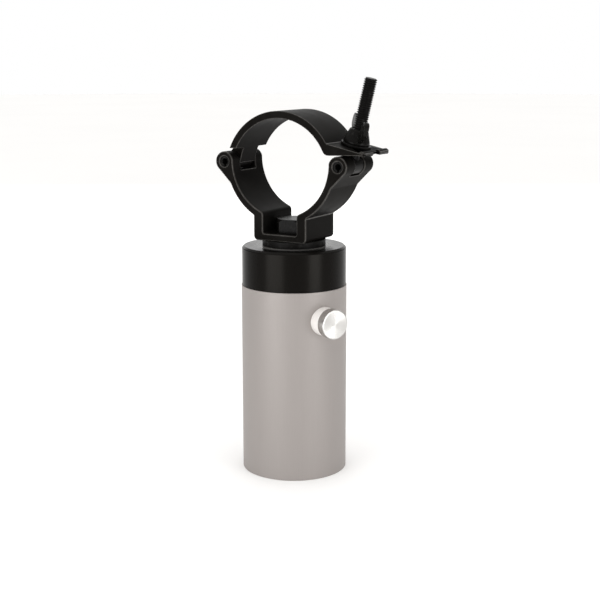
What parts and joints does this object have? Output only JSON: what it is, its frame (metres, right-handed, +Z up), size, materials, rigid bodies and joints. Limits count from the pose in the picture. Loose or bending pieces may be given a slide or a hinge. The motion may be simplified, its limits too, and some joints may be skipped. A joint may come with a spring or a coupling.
{
  "type": "pipe clamp",
  "caption": "Half-coupler pipe clamp with a hinged upper jaw, swing bolt and wing nut, bolted to a plug in an open tube that a thumb screw locks.",
  "frame": {"origin": "centre of the tube's open lower end, in the plane of its end face", "axes": "+Z up along the tube's axis, +Y along the axis of the gripped pipe, +X from the jaw's hinge to the swing bolt"},
  "size_m": [0.0786, 0.05, 0.1874],
  "materials": {
    "tube": "satin warm grey coat",
    "boss": "turned",
    "nylon_tip": "matte",
    "thumb_screw": "turned, bright",
    "plug": "black anodised, satin",
    "black_steel": "black zinc",
    "bolt_steel": "black zinc",
    "zinc_steel": "zinc plated",
    "nylon_ring": "matte",
    "jaw_coat": "black powder coat",
    "pin_steel": "black oxide",
    "nut_coat": "black zinc, slightly glossy"
  },
  "bodies": {
    "tube_body": {"tube": "tube", "screw_boss": "boss"},
    "screw_tip_body": {"screw_tip": "nylon_tip"},
    "thumb_screw_body": {"thumb_screw": "thumb_screw"},
    "plug_body": {"plug": "plug"},
    "clamp_body": {"lower_jaw": "jaw_coat", "hinge_pin": "pin_steel", "swing_bolt_pin": "pin_steel", "base_washer": "black_steel", "clamp_bolt": "bolt_steel", "inner_washer": "zinc_steel", "lock_nut": "zinc_steel", "lock_nut_ring": "nylon_ring"},
    "upper_jaw_body": {"upper_jaw": "jaw_coat"},
    "swing_bolt_body": {"swing_bolt": "bolt_steel"},
    "nut_washer_body": {"wing_nut_washer": "black_steel"},
    "wing_nut_body": {"wing_nut": "nut_coat"}
  },
  "joints": [
    {"name": "plug_turn", "type": "hinge", "parent": "tube_body", "child": "plug_body", "pos_m": [0, 0, 0.09], "axis": [0, 0, 1], "continuous": true},
    {"name": "clamp_swivel", "type": "hinge", "parent": "plug_body", "child": "clamp_body", "pos_m": [0, 0, 0.1115], "axis": [0, 0, 1], "continuous": true},
    {"name": "thumb_travel", "type": "slide", "parent": "tube_body", "child": "screw_tip_body", "axis": [0.8957, -0.4446, 0], "range_m": [0, 0.0032]},
    {"name": "thumb_turn", "type": "hinge", "parent": "screw_tip_body", "child": "thumb_screw_body", "pos_m": [0.02687, -0.01334, 0.076], "axis": [0.8957, -0.4446, 0], "range_deg": [0, 1441]},
    {"name": "jaw_open", "type": "hinge", "parent": "clamp_body", "child": "upper_jaw_body", "pos_m": [-0.0303, 0, 0.14755], "axis": [0, -1, 0], "range_deg": [0, 20.9]},
    {"name": "bolt_lean", "type": "hinge", "parent": "clamp_body", "child": "swing_bolt_body", "pos_m": [0.0303, 0, 0.14755], "axis": [0, -1, 0], "range_deg": [0, 20.9]},
    {"name": "nut_travel", "type": "slide", "parent": "swing_bolt_body", "child": "nut_washer_body", "axis": [0.2419, 0, 0.9703], "range_m": [0, 0.0221]},
    {"name": "wing_nut_turn", "type": "hinge", "parent": "nut_washer_body", "child": "wing_nut_body", "pos_m": [0.0303, 0, 0.14755], "axis": [0.2419, 0, 0.9703], "range_deg": [0, 7920]}
  ],
  "couplings": [
    {"joint": "thumb_turn", "follows": "thumb_travel", "rad_per_m": 7854},
    {"joint": "nut_travel", "follows": "wing_nut_turn", "m_per_rad": 0.00015915},
    {"joint": "jaw_open", "follows": "wing_nut_turn", "ratio": 0.0026263},
    {"joint": "bolt_lean", "follows": "wing_nut_turn", "ratio": 0.0026263}
  ]
}
